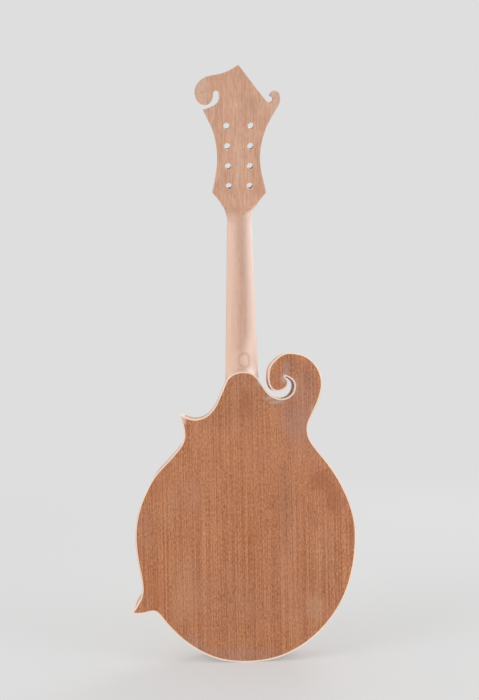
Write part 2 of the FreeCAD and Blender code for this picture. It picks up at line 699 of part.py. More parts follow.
def side_dot_cylinders():
    """Dots let into the bass side's binding."""
    dots = []
    for x, distance in dot_places():
        if x > 0:
            continue
        floor = Vector(board_half_width(distance) - SIDE_DOT_DEPTH, BOARD_THICKNESS / 2, -distance)
        dots.append(Part.makeCylinder(SIDE_DOT_RADIUS, SIDE_DOT_DEPTH, floor, Vector(1, 0, 0)))
    return dots


def fret_tang(distance, reach, top):
    half = FRET_TANG / 2
    low = BOARD_THICKNESS - FRET_TANG_DEPTH
    return box(-reach, reach, low, top, -distance - half, -distance + half)


def fret(number):
    """A T-shaped fret: a half-round crown over a tang that sits in the board's slot."""
    distance = fret_distance(number)
    half = board_half_width(distance)
    reach = half - BOARD_BINDING
    base = BOARD_THICKNESS
    left = Vector(-half, base, -distance - FRET_CROWN / 2)
    right = Vector(-half, base, -distance + FRET_CROWN / 2)
    top = Vector(-half, base + FRET_HEIGHT, -distance)
    wire = Part.Wire([Part.Arc(left, top, right).toShape(), Part.LineSegment(right, left).toShape()])
    crown = Part.Face(wire).extrude(Vector(2 * half, 0, 0))
    return crown.fuse(fret_tang(distance, reach, base))


def fret_slots():
    slots = []
    for number in range(1, FRET_COUNT + 1):
        distance = fret_distance(number)
        half = board_half_width(distance) - BOARD_BINDING
        slots.append(fret_tang(distance, half, BOARD_THICKNESS + FRET_HEIGHT))
    return Part.makeCompound(slots)


def fingerboard():
    board = prism(board_plan(BOARD_BINDING), 0, BOARD_THICKNESS)
    board = board.cut(fret_slots()).cut(Part.makeCompound(dot_cylinders()))
    return placed_on_neck(board)


def fingerboard_binding():
    strip = prism(board_plan(0), 0, BOARD_THICKNESS)
    strip = strip.cut(prism(board_plan(BOARD_BINDING), 0, BOARD_THICKNESS))
    return placed_on_neck(strip.cut(Part.makeCompound(side_dot_cylinders())))


def fingerboard_support(over_top):
    """The riser between the arched top and the part of the fingerboard that runs over the body."""
    start = -JOINT_Z / math.cos(math.radians(NECK_ANGLE))
    over_body = polygon([(-60, -start), (60, -start), (60, -FAR), (-60, -FAR)])
    plan = board_plan(BOARD_BINDING).common(over_body)
    riser = placed_on_neck(prism(plan, -30, 0))
    riser = riser.cut(box(-60, 60, -60, 60, JOINT_Z, 0))
    return main_solid(riser.common(over_top).cut(dovetail(GLUE_GAP)))


# ---- Nut -----------------------------------------------------------------------------------------
def string_places():
    """x of each string at the nut, in four courses of two."""
    places = []
    for course in range(4):
        centre = -STRING_SPREAD / 2 + COURSE_GAP / 2 + course * (STRING_SPREAD - COURSE_GAP) / 3
        places += [centre - COURSE_GAP / 2, centre + COURSE_GAP / 2]
    return places


def nut():
    half = NUT_WIDTH / 2
    profile = [(0, 0), (NUT_HEIGHT, 0), (NUT_HEIGHT - NUT_FALL, NUT_THICKNESS), (0, NUT_THICKNESS)]
    bone = side_prism(profile, half)
    for x in string_places():
        start = Vector(x, NUT_HEIGHT, -NUT_THICKNESS)
        slot = Part.makeCylinder(STRING_SLOT / 2, 3 * NUT_THICKNESS, start, Vector(0, -STRING_FALL, 1))
        bone = bone.cut(slot)
    return placed_on_neck(bone)


# ---- Truss rod -----------------------------------------------------------------------------------
def hexagon(across_flats, length, start, depth):
    corner = across_flats / math.sqrt(3)
    corners = []
    for number in range(6):
        turn = math.radians(60 * number)
        corners.append(Vector(corner * math.cos(turn), corner * math.sin(turn) - depth, -start))
    return Part.Face(Part.makePolygon(corners + corners[:1])).extrude(Vector(0, 0, -length))


def truss_rod_adjuster():
    """The turning rod with its hexagon nut and the socket for a key."""
    top = Vector(0, -ROD_DEPTH, ROD_START - NUT_LENGTH / 2)
    rod = Part.makeCylinder(ROD_RADIUS, top.z + ROD_LENGTH - ROD_HEAD_GAP, top, Vector(0, 0, -1))
    head = hexagon(NUT_HEX, NUT_LENGTH, -ROD_START, ROD_DEPTH)
    key = hexagon(KEY_HEX, KEY_DEPTH, -ROD_START, ROD_DEPTH)
    return placed_on_neck(rod.fuse(head).cut(key))


def truss_rod_anchor():
    """The bar behind the rod, with the end block at each of its ends."""
    half = ROD_BLOCK_WIDTH / 2
    bar = box(-half, half, ROD_BAR_TOP - ROD_BAR_HEIGHT, ROD_BAR_TOP, -ROD_LENGTH, -ROD_HEAD_GAP)
    blocks = []
    for end in (-ROD_LENGTH, -ROD_HEAD_GAP - ROD_BLOCK_LENGTH):
        blocks.append(box(-half, half, ROD_BAR_TOP, ROD_BLOCK_FACE, end, end + ROD_BLOCK_LENGTH))
    body = bar.fuse(blocks)
    start = Vector(0, -ROD_DEPTH, ROD_LENGTH)
    bore = Part.makeCylinder(ROD_RADIUS + ROD_CLEARANCE, 3 * ROD_LENGTH, start, Vector(0, 0, -1))
    return placed_on_neck(body.cut(bore))


def rod_filler():
    """The wooden strip over the rod, which lies flush with the neck's face."""
    half = ROD_BLOCK_WIDTH / 2
    return placed_on_neck(box(-half, half, ROD_BLOCK_FACE, 0, -ROD_LENGTH, 0))


def on_veneer(shape):
    """Moves a shape drawn at the nut line onto the front of the headstock's veneer."""
    moved = shape.copy()
    moved.translate(Vector(0, HEAD_THICKNESS + VENEER_THICKNESS, 0))
    return placed_on_head(moved)


def cover_plan():
    """A bell outline: straight at the nut, rounded at the far end."""
    half = COVER_WIDTH / 2
    shoulder = COVER_LENGTH * COVER_SHOULDER
    knots = [(half, 0, 90), (half * COVER_WAIST, shoulder, 100), (0, COVER_LENGTH, 180),
             (-half * COVER_WAIST, shoulder, 260), (-half, 0, 270)]
    base = Part.LineSegment(Vector(-half, 0, 0), Vector(half, 0, 0)).toShape()
    return closed_face(run_edges(knots) + [base])


def cover_screw_solids():
    screws = []
    for x, along in SCREW_PLACES:
        top = Vector(x, COVER_THICKNESS, along)
        shank = Part.makeCylinder(SCREW_RADIUS, SCREW_LENGTH, top, Vector(0, -1, 0))
        under_head = top - Vector(0, SCREW_HEAD_HEIGHT, 0)
        head = Part.makeCone(SCREW_RADIUS, SCREW_HEAD, SCREW_HEAD_HEIGHT, under_head, Vector(0, 1, 0))
        screws.append(shank.fuse(head))
    return screws


def screw_holes():
    return Part.makeCompound([on_veneer(screw) for screw in cover_screw_solids()])


def truss_rod_cover():
    plate = prism(cover_plan(), 0, COVER_THICKNESS)
    for screw in cover_screw_solids():
        plate = plate.cut(screw)
    return on_veneer(plate)


def screw_slot(x, along):
    half = SCREW_SLOT_WIDTH / 2
    low = COVER_THICKNESS - SCREW_SLOT_DEPTH
    return box(x - SCREW_HEAD, x + SCREW_HEAD, low, COVER_THICKNESS + 1, along - half, along + half)


def cover_screws():
    screws = []
    for screw, (x, along) in zip(cover_screw_solids(), SCREW_PLACES):
        screws.append(on_veneer(screw.cut(screw_slot(x, along))))
    return screws


# ---- Assembly ------------------------------------------------------------------------------------
def plate_pieces():
    return {"back_plate": back_plate(), "top_plate": top_plate(),
            "back_binding": back_binding(), "top_binding": top_binding()}


def block_pieces():
    return {"head_block": main_solid(head_block()), "scroll_block": main_solid(block(SCROLL_BLOCK)),
            "tail_block": main_solid(block(TAIL_BLOCK))}


def point_pieces():
    """At each point a block inside the ribs and a protector that closes the tip."""
    pieces = {}
    for name, point, inner, plan in (("upper", UPPER_POINT, INNER_UPPER, UPPER_BLOCK),
                                     ("lower", LOWER_POINT, INNER_LOWER, LOWER_BLOCK)):
        cap = main_solid(point_cap(point, inner))
        pieces[name + "_point_protector"] = cap
        pieces[name + "_point_block"] = main_solid(block(plan).cut(cap))
    return pieces


def split_by_sector(ring, prefix, names):
    """The pieces of a ring, one in each named sector; what is left over is the long bass piece."""
    pieces = {}
    rest = main_solid(ring)
    for name in names:
        pieces[prefix + name] = main_solid(ring.common(sector(name)))
        rest = main_solid(rest.cut(sector(name)))
    pieces[prefix + "bass"] = rest
    return pieces


def rim_pieces(blocks):
    treble = ["treble_upper", "treble_middle", "treble_lower"]
    pieces = split_by_sector(rim_ring(), "rib_", treble + ["scroll_slot"])
    back_ring = lining_ring(BACK_INSIDE_Y, BACK_INSIDE_Y + LINING_HEIGHT, blocks)
    top_ring = lining_ring(TOP_INSIDE_Y - LINING_HEIGHT, TOP_INSIDE_Y, blocks)
    pieces.update(split_by_sector(back_ring, "back_lining_", treble))
    pieces.update(split_by_sector(top_ring, "top_lining_", treble))
    return pieces


def top_fittings():
    """What is fitted to the arch of the top: the bars below it and the fingerboard's riser above it."""
    inside_arch = arched_half_space(TOP_INSIDE_Y, TOP_ARCH - PLATE_CENTRE + PLATE_EDGE)
    outside_arch = arched_half_space(TOP_EDGE_Y, TOP_ARCH)
    return {"tone_bar_bass": tone_bar(1, inside_arch), "tone_bar_treble": tone_bar(-1, inside_arch),
            "fingerboard_support": fingerboard_support(outside_arch)}


def neck_pieces():
    ear_left, ear_corner, ear_right = headstock_ears()
    return {"neck": neck(), "headstock_ear_left": ear_left, "headstock_ear_corner": ear_corner,
            "headstock_ear_right": ear_right, "headstock_veneer": headstock_veneer(), "nut": nut(),
            "truss_rod_adjuster": truss_rod_adjuster(), "truss_rod_anchor": truss_rod_anchor(),
            "truss_rod_filler": rod_filler(), "truss_rod_cover": truss_rod_cover(),
            "cover_screws": Part.makeCompound(cover_screws())}


def board_pieces():
    frets = [placed_on_neck(fret(number)) for number in range(1, FRET_COUNT + 1)]
    return {"fingerboard": fingerboard(), "fingerboard_binding": fingerboard_binding(),
            "frets": Part.makeCompound(frets),
            "position_dots": Part.makeCompound([placed_on_neck(dot) for dot in dot_cylinders()]),
            "side_dots": Part.makeCompound([placed_on_neck(dot) for dot in side_dot_cylinders()])}


def build():
    """Every piece by its node's name."""
    pieces = plate_pieces()
    pieces.update(block_pieces())
    pieces.update(point_pieces())
    blocks = [shape for name, shape in pieces.items() if name.endswith("_block")]
    pieces.update(rim_pieces(blocks))
    pieces.update(top_fittings())
    pieces.update(neck_pieces())
    pieces.update(board_pieces())
    return pieces


def write(pieces):
    os.makedirs("parts", exist_ok=True)
    for name, shape in pieces.items():
        shape.exportStep("parts/" + name + ".step")


write(build())
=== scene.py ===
"""Studio scene of an unfinished scroll-bodied mandolin seen from behind. Lengths are in metres."""
import json
import math

import bpy
from mathutils import Matrix, Vector


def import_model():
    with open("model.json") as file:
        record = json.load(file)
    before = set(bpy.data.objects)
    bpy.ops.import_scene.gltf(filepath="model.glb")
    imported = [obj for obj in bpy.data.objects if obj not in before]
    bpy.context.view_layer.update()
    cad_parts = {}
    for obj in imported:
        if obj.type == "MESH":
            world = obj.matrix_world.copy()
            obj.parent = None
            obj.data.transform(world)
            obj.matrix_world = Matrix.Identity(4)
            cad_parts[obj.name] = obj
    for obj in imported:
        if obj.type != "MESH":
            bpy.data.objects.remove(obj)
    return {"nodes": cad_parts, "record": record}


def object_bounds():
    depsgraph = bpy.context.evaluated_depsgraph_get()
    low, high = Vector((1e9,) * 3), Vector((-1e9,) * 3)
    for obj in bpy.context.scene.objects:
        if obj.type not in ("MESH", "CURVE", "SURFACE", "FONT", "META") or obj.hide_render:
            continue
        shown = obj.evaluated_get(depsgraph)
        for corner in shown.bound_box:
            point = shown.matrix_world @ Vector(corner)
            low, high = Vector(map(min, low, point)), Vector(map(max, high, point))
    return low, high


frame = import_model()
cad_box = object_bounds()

NODES = frame["nodes"]


# ---- Shader building -------------------------------------------------------------------------------
def tone(red, green, blue):
    """A colour written from 0 to 255, as the linear values that a shader takes."""
    values = []
    for value in (red, green, blue):
        share = value / 255
        values.append(share / 12.92 if share <= 0.04045 else ((share + 0.055) / 1.055) ** 2.4)
    return (*values, 1.0)


def add(tree, kind, inputs, **settings):
    """A new node; an input is either a value or another node's output."""
    node = tree.nodes.new(kind)
    for name, value in settings.items():
        setattr(node, name, value)
    for key, value in inputs.items():
        if isinstance(value, bpy.types.NodeSocket):
            tree.links.new(value, node.inputs[key])
        else:
            node.inputs[key].default_value = value
    return node


def calc(tree, operation, *values):
    return add(tree, "ShaderNodeMath", dict(enumerate(values)), operation=operation).outputs[0]


def spread(tree, value, low, high):
    """0 below low and 1 above high, with a smooth change between; low may be the larger one."""
    limits = {"Value": value, "From Min": low, "From Max": high}
    return add(tree, "ShaderNodeMapRange", limits, interpolation_type="SMOOTHSTEP").outputs["Result"]


def mix(tree, share, first, second):
    """The first colour where share is 0 and the second where it is 1."""
    return add(tree, "ShaderNodeMix", {0: share, 6: first, 7: second}, data_type="RGBA").outputs[2]


def place(tree, size=(1, 1, 1), centre=(0, 0, 0), lean=0.0):
    """A point's place from a centre, in units of size; lean turns those axes about the X axis."""
    coordinates = add(tree, "ShaderNodeTexCoord", {}).outputs["Object"]
    inputs = {"Vector": coordinates, "Location": centre, "Rotation": (math.radians(lean), 0, 0),
              "Scale": size}
    return add(tree, "ShaderNodeMapping", inputs, vector_type="TEXTURE").outputs[0]


def noise(tree, size, detail=2.0, roughness=0.5, seed=0.0, lean=0.0):
    """Noise from 0 to 1 whose grains are size metres long along each axis."""
    if not isinstance(size, tuple):
        size = (size,) * 3
    inputs = {"Vector": place(tree, size, lean=lean), "W": seed, "Scale": 1.0, "Detail": detail,
              "Roughness": roughness}
    return add(tree, "ShaderNodeTexNoise", inputs, noise_dimensions="4D").outputs[0]


def patch(tree, centre, reach, ragged=0.8, seed=0.0):
    """1 at a place and 0 beyond its reach along each axis, with a ragged border."""
    distance = add(tree, "ShaderNodeVectorMath", {0: place(tree, reach, centre)}, operation="LENGTH")
    cloud = noise(tree, tuple(0.7 * extent for extent in reach), 5.0, 0.7, seed)
    wobble = calc(tree, "MULTIPLY", calc(tree, "SUBTRACT", cloud, 0.5), ragged * 2)
    return spread(tree, calc(tree, "ADD", distance.outputs["Value"], wobble), 1.05, 0.2)


def edge_highlight_mask(tree, radius):
    """1 along sharp edges, where a highlight is painted on their slight rounding."""
    rounded = add(tree, "ShaderNodeBevel", {"Radius": radius}, samples=6).outputs[0]
    sharp = add(tree, "ShaderNodeNewGeometry", {}).outputs["Normal"]
    alike = add(tree, "ShaderNodeVectorMath", {0: rounded, 1: sharp}, operation="DOT_PRODUCT")
    return spread(tree, alike.outputs["Value"], 0.985, 0.8)


def off_ear_joint(tree):
    """0.8, but 0 beside the glued joints between the headstock's core and its ears."""
    side = add(tree, "ShaderNodeSeparateXYZ", {"Vector": place(tree)}).outputs["X"]
    distance = calc(tree, "ABSOLUTE", calc(tree, "SUBTRACT", calc(tree, "ABSOLUTE", side), EAR_JOINT_X))
    return calc(tree, "MULTIPLY", spread(tree, distance, 0.0012, 0.0022), 0.8)


def material(name, build):
    """A material whose surface colour, roughness and height come from build(tree)."""
    made = bpy.data.materials.new(name)
    made.use_nodes = True
    tree = made.node_tree
    surface = tree.nodes["Principled BSDF"]
    for key, value in build(tree).items():
        if isinstance(value, bpy.types.NodeSocket):
            tree.links.new(value, surface.inputs[key])
        else:
            surface.inputs[key].default_value = value
    return made


def relief(tree, height, depth, strength=0.5):
    return add(tree, "ShaderNodeBump", {"Height": height, "Distance": depth, "Strength": strength}).outputs[0]


# ---- Wood ------------------------------------------------------------------------------------------
EAR_JOINT_X = 0.0354       # half the width of the headstock's core
ARRIS_RADIUS = 0.0011
LONG = 0.3                 # how far a growth line runs before it fades
PLATE = (0, 1, None)       # grain up the plate, whose lines go straight through it
NECK = (0, 0, None)        # grain up the neck
RIM = (None, 0, None)      # grain round the rim
NECK_LEAN = 4.5            # degrees that the neck leans back


def streaks(tree, axes, pitch, length, seed, lean=0.0, detail=2.0):
    """Noise drawn out along the grain: pitch across it and length along it."""
    size = tuple(length if axis is None else axis or pitch for axis in axes)
    return noise(tree, size, detail, 0.6, seed, lean)


def wood_grain(tree, light, dark, axes, pitch, length, shares=(0.4, 0.4, 0.2), lean=0.0, seed=0.0):
    """Two colours mixed by growth lines, short flecks and broad clouds, and the share of the light one."""
    line = spread(tree, streaks(tree, axes, pitch, LONG, seed + 1, lean), 0.36, 0.64)
    fleck = spread(tree, streaks(tree, axes, pitch, length, seed + 2, lean), 0.36, 0.64)
    cloud = spread(tree, streaks(tree, axes, pitch * 12, length * 8, seed + 3, lean, 3.0), 0.32, 0.68)
    share = calc(tree, "MULTIPLY", line, shares[0])
    share = calc(tree, "ADD", share, calc(tree, "MULTIPLY", fleck, shares[1]))
    share = calc(tree, "ADD", share, calc(tree, "MULTIPLY", cloud, shares[2]))
    return mix(tree, share, dark, light), share


def pores(tree, axes, pitch=0.0011, length=0.006, amount=0.6, lean=0.0):
    """Short dark dashes of open pores, gathered in some places."""
    dash = streaks(tree, axes, pitch, length, 12.3, lean)
    crowd = noise(tree, (0.045, 0.045, 0.08), 2.0, 0.5, 14.0)
    limit = calc(tree, "SUBTRACT", amount + 0.09, calc(tree, "MULTIPLY", crowd, 0.18))
    return spread(tree, calc(tree, "SUBTRACT", dash, limit), 0.0, 0.05)


def wood(light, dark, pore, axes=NECK, shares=(0.4, 0.4, 0.2), pore_share=0.45, patches=(), rough=0.6,
         pitch=0.0014, length=0.005, edge=None, stain=None, lean=0.0):
    """A sanded, unfinished wood; patches are (centre, reach, colour, share), edge is a painted highlight
    along its arrises.
    """
    def build(tree):
        colour, height = wood_grain(tree, light, dark, axes, pitch, length, shares, lean)
        if stain:
            tint = spread(tree, noise(tree, (0.035, 0.035, 0.06), 4.0, 0.6, 30.0), 0.42, 0.72)
            colour = mix(tree, calc(tree, "MULTIPLY", tint, 0.4), colour, stain)
        holes = pores(tree, axes, lean=lean)
        colour = mix(tree, calc(tree, "MULTIPLY", holes, pore_share), colour, pore)
        for number, (centre, reach, shade, share) in enumerate(patches):
            mask = calc(tree, "MULTIPLY", patch(tree, centre, reach, seed=number * 5.0), share)
            colour = mix(tree, mask, colour, shade)
        if edge:
            # painted highlight where light catches the rounded edges
            edge_lit = calc(tree, "MULTIPLY", edge_highlight_mask(tree, ARRIS_RADIUS), off_ear_joint(tree))
            colour = mix(tree, edge_lit, colour, edge)
        height = calc(tree, "SUBTRACT", calc(tree, "MULTIPLY", height, 0.35), holes)
        roughness = calc(tree, "ADD", calc(tree, "MULTIPLY", holes, 0.12), rough)
        return {"Base Color": colour, "Roughness": roughness, "IOR": 1.45,
                "Normal": relief(tree, height, 0.00012, 0.6)}
    return build


# ---- The instrument's own materials ----------------------------------------------------------------
MAHOGANY = tone(214, 149, 107)
MAHOGANY_DARK = tone(149, 83, 43)
PORE = tone(128, 70, 42)
STAIN = tone(186, 130, 103)
# painted highlight along the rounded edges of the headstock and its ears
EDGE_HIGHLIGHT = tone(246, 217, 197)
# painted highlights on the neck: its flanks, its heel and the flare below the headstock
NECK_HIGHLIGHT = tone(250, 223, 208)
WARM_NECK_HIGHLIGHT = tone(252, 215, 191)
RED_WOOD = tone(150, 74, 38)
ORANGE_WOOD = tone(190, 106, 52)
BROWN_WOOD = tone(140, 100, 80)
PINK_WOOD = tone(204, 158, 128)
# painted shade on the back plate
PAINTED_SHADE = tone(110, 74, 60)
HAZE = tone(152, 120, 115)
DUST = tone(168, 142, 136)
FILLER = tone(187, 172, 170)

BACK_PATCHES = (           # centre, reach, colour and share
    ((0.086, -0.040, -0.314), (0.018, 0.030, 0.021), RED_WOOD, 0.44),
    ((0.101, -0.040, -0.334), (0.016, 0.030, 0.025), RED_WOOD, 0.42),
    ((0.002, -0.040, -0.224), (0.012, 0.030, 0.026), RED_WOOD, 0.36),
    ((-0.105, -0.040, -0.425), (0.017, 0.030, 0.030), ORANGE_WOOD, 0.26),
    ((-0.087, -0.040, -0.313), (0.014, 0.030, 0.026), ORANGE_WOOD, 0.14),
    ((-0.086, -0.040, -0.392), (0.020, 0.030, 0.020), ORANGE_WOOD, 0.16),
    ((0.000, -0.040, -0.300), (0.070, 0.030, 0.110), RED_WOOD, 0.06),
    ((0.000, -0.040, -0.213), (0.055, 0.030, 0.052), BROWN_WOOD, 0.16),
    ((0.004, -0.040, -0.372), (0.022, 0.030, 0.050), ORANGE_WOOD, 0.08),
    # these four patches are painted shade
    ((0.045, -0.040, -0.335), (0.014, 0.030, 0.065), PAINTED_SHADE, 0.20),
    ((0.057, -0.040, -0.177), (0.013, 0.030, 0.013), PAINTED_SHADE, 0.20),
    ((0.073, -0.040, -0.192), (0.013, 0.030, 0.017), PAINTED_SHADE, 0.22),
    ((0.034, -0.040, -0.190), (0.012, 0.030, 0.018), PAINTED_SHADE, 0.14),
    ((-0.084, -0.040, -0.337), (0.013, 0.030, 0.030), PINK_WOOD, 0.14),
    ((-0.068, -0.040, -0.430), (0.022, 0.030, 0.050), PINK_WOOD, 0.18),
    ((0.078, -0.040, -0.458), (0.020, 0.030, 0.022), PINK_WOOD, 0.35),
    ((0.090, -0.040, -0.395), (0.022, 0.030, 0.045), PINK_WOOD, 0.14),
    ((0.066, -0.040, -0.226), (0.036, 0.030, 0.056), HAZE, 0.28),
    ((0.062, -0.040, -0.247), (0.024, 0.030, 0.026), DUST, 0.15),
    ((-0.010, -0.040, -0.508), (0.060, 0.030, 0.014), DUST, 0.26),
    ((-0.066, -0.040, -0.497), (0.024, 0.030, 0.014), DUST, 0.30),
    ((0.0505, -0.040, -0.179), (0.0045, 0.030, 0.0090), DUST, 0.50),
    ((0.0500, -0.040, -0.1875), (0.0036, 0.030, 0.0080), DUST, 0.75),
    ((0.0470, -0.040, -0.1945), (0.0046, 0.030, 0.0075), FILLER, 0.65),
    ((0.0285, -0.040, -0.2168), (0.0060, 0.030, 0.0034), FILLER, 0.50),
    ((0.0385, -0.040, -0.2214), (0.0130, 0.030, 0.0027), FILLER, 0.55),
    ((0.0600, -0.040, -0.2040), (0.0050, 0.030, 0.0140), DUST, 0.50),
    ((0.0790, -0.040, -0.2330), (0.0035, 0.030, 0.0110), FILLER, 0.45),
    ((0.0180, -0.040, -0.1990), (0.0045, 0.030, 0.0045), FILLER, 0.45),
    ((-0.0705, -0.040, -0.2385), (0.0055, 0.030, 0.0110), tone(216, 186, 176), 1.0),
)

# a pale patch on the ribs inside the scroll's slot: painted light on walls that lie in shade
SLOT_LIGHT = (((0.044, -0.015, -0.200), (0.036, 0.080, 0.036), tone(240, 211, 198), 0.85),)

NECK_HALF_WIDTH = 0.0143   # at the nut
NECK_SPREAD = 0.0285       # how much wider each half is per unit of length towards the body
HEAD_BOW = 38.0            # the lower edge of the fresh-cut wood rises by this times the square of X
HEAD_BOW_LIMIT = 0.0115    # and by no more than this


def neck_flank_highlights(tree):
    """How much painted highlight the shaft takes on its left and right flank as seen from behind."""
    axes = add(tree, "ShaderNodeSeparateXYZ", {"Vector": place(tree)}).outputs
    half = calc(tree, "SUBTRACT", NECK_HALF_WIDTH, calc(tree, "MULTIPLY", axes["Z"], NECK_SPREAD))
    across = calc(tree, "DIVIDE", axes["X"], half)
    heel = spread(tree, axes["Z"], -0.132, -0.166)
    below_head = spread(tree, axes["Z"], 0.006, -0.012)
    below_flare = spread(tree, axes["Z"], 0.020, 0.002)
    right = spread(tree, calc(tree, "ADD", across, calc(tree, "MULTIPLY", heel, 0.3)), 0.15, 0.95)
    left = calc(tree, "MULTIPLY", spread(tree, across, 0.15, -0.95), 0.6)
    leaned = add(tree, "ShaderNodeSeparateXYZ", {"Vector": place(tree, lean=NECK_LEAN)}).outputs["Y"]
    round_part = spread(tree, leaned, -0.0005, -0.006)
    left = calc(tree, "MULTIPLY", left, below_head)
    right = calc(tree, "MULTIPLY", right, below_flare)
    return calc(tree, "MULTIPLY", left, round_part), calc(tree, "MULTIPLY", right, round_part)


def neck_wood(tree):
    """The neck blank: pale and smooth on the round shaft, darker and fresh-cut on the flat headstock."""
    shaft, smooth_height = wood_grain(tree, tone(219, 180, 161), tone(192, 151, 131), NECK, 0.0014, 0.008,
                                      (0.3, 0.3, 0.4), NECK_LEAN)
    # painted highlights along both flanks of the shaft, strongest on the right
    warm, pale = neck_flank_highlights(tree)
    shaft = mix(tree, pale, mix(tree, warm, shaft, WARM_NECK_HIGHLIGHT), NECK_HIGHLIGHT)
    head, height = wood_grain(tree, tone(229, 181, 154), tone(190, 142, 115), (0, 0.007, None), 0.0013, 0.008,
                              (0.4, 0.35, 0.25), NECK_LEAN, 20.0)
    axes = add(tree, "ShaderNodeSeparateXYZ", {"Vector": place(tree)})
    bow = calc(tree, "MULTIPLY", calc(tree, "MULTIPLY", axes.outputs["X"], axes.outputs["X"]), HEAD_BOW)
    level = calc(tree, "SUBTRACT", axes.outputs["Z"], calc(tree, "MINIMUM", bow, HEAD_BOW_LIMIT))
    fresh = spread(tree, level, -0.004, 0.001)
    colour = mix(tree, fresh, shaft, head)
    holes = pores(tree, NECK, 0.0010, 0.005, 0.64, NECK_LEAN)
    pore_share = calc(tree, "ADD", calc(tree, "MULTIPLY", fresh, 0.25), 0.12)
    colour = mix(tree, calc(tree, "MULTIPLY", holes, pore_share), colour, tone(150, 100, 74))
    # a painted highlight on the heel's curve, edged by a painted shade ring
    heel_highlight = patch(tree, (0.0026, -0.016, -0.1715), (0.0105, 0.03, 0.0140), 0.35, 3.0)
    rest = calc(tree, "SUBTRACT", 4.0, calc(tree, "MULTIPLY", heel_highlight, 4.0))
    heel_shade_ring = calc(tree, "POWER", calc(tree, "MULTIPLY", heel_highlight, rest), 3.0)
    colour = mix(tree, calc(tree, "MULTIPLY", heel_highlight, 0.25), colour, NECK_HIGHLIGHT)
    colour = mix(tree, calc(tree, "MULTIPLY", heel_shade_ring, 0.35), colour, tone(170, 124, 106))
    scraped = patch(tree, (-0.001, -0.020, 0.062), (0.0075, 0.05, 0.040), 0.3, 6.0)
    colour = mix(tree, calc(tree, "MULTIPLY", scraped, 0.3), colour, tone(232, 200, 176))
    warm_side = patch(tree, (0.022, -0.010, 0.030), (0.010, 0.05, 0.016), 0.4, 7.0)
    colour = mix(tree, calc(tree, "MULTIPLY", warm_side, 0.35), colour, tone(196, 138, 108))
    dusty = patch(tree, (0.016, -0.030, 0.118), (0.016, 0.05, 0.014), 0.4, 9.0)
    colour = mix(tree, calc(tree, "MULTIPLY", dusty, 0.45), colour, tone(172, 132, 118))
    # painted highlight along the rounded edges
    colour = mix(tree, calc(tree, "MULTIPLY", edge_highlight_mask(tree, ARRIS_RADIUS), off_ear_joint(tree)), colour, EDGE_HIGHLIGHT)
    # a painted highlight along the right side of the flare below the headstock
    low_on_head = spread(tree, axes.outputs["Z"], 0.036, 0.018)
    flare = calc(tree, "MULTIPLY", low_on_head, spread(tree, axes.outputs["X"], 0.006, 0.012))
    rounded = calc(tree, "MULTIPLY", calc(tree, "MULTIPLY", edge_highlight_mask(tree, 0.0026), flare), fresh)
    colour = mix(tree, rounded, colour, NECK_HIGHLIGHT)
    swell = calc(tree, "MULTIPLY", calc(tree, "ADD", height, smooth_height), 0.2)
    bumps = calc(tree, "SUBTRACT", swell, holes)
    return {"Base Color": colour, "Roughness": 0.5, "IOR": 1.45, "Normal": relief(tree, bumps, 0.0001, 0.5)}


def binding(tree):
    """Pale celluloid, scraped level, with faint yellowing and rounded edges."""
    aged = spread(tree, noise(tree, 0.07, 2.0), 0.42, 0.66)
    colour = mix(tree, calc(tree, "MULTIPLY", aged, 0.6), tone(250, 228, 210), tone(233, 198, 172))
    scraped = noise(tree, 0.0011, 2.0)
    fleck = spread(tree, noise(tree, 0.004, 2.0, 0.6, 5.0), 0.62, 0.72)
    colour = mix(tree, calc(tree, "MULTIPLY", fleck, 0.25), colour, tone(206, 160, 132))
    return {"Base Color": colour, "Roughness": 0.42, "IOR": 1.5,
            "Normal": relief(tree, scraped, 0.00005, 0.4)}


def hard_plastic(light, dark, rough):
    def build(tree):
        cloud = noise(tree, 0.008, 3.0)
        scratch = noise(tree, (0.0007, 0.0007, 0.016), 2.0)
        colour = mix(tree, cloud, light, dark)
        roughness = calc(tree, "ADD", calc(tree, "MULTIPLY", scratch, 0.15), rough)
        return {"Base Color": colour, "Roughness": roughness, "Normal": relief(tree, scratch, 0.00003, 0.3)}
    return build


def metal(light, dark, rough, lines=(0.0008, 0.0008, 0.016)):
    def build(tree):
        brushed = noise(tree, lines, 2.0)
        colour = mix(tree, noise(tree, 0.011, 2.0), light, dark)
        return {"Base Color": colour, "Metallic": 1.0,
                "Roughness": calc(tree, "ADD", calc(tree, "MULTIPLY", brushed, 0.2), rough),
                "Normal": relief(tree, brushed, 0.00003, 0.3)}
    return build


def pearl(tree):
    swirl = noise(tree, 0.003, 3.0, 0.6)
    colour = mix(tree, spread(tree, swirl, 0.35, 0.65), tone(236, 232, 226), tone(206, 214, 214))
    return {"Base Color": colour, "Roughness": 0.18, "IOR": 1.6, "Normal": relief(tree, swirl, 0.00002, 0.2)}


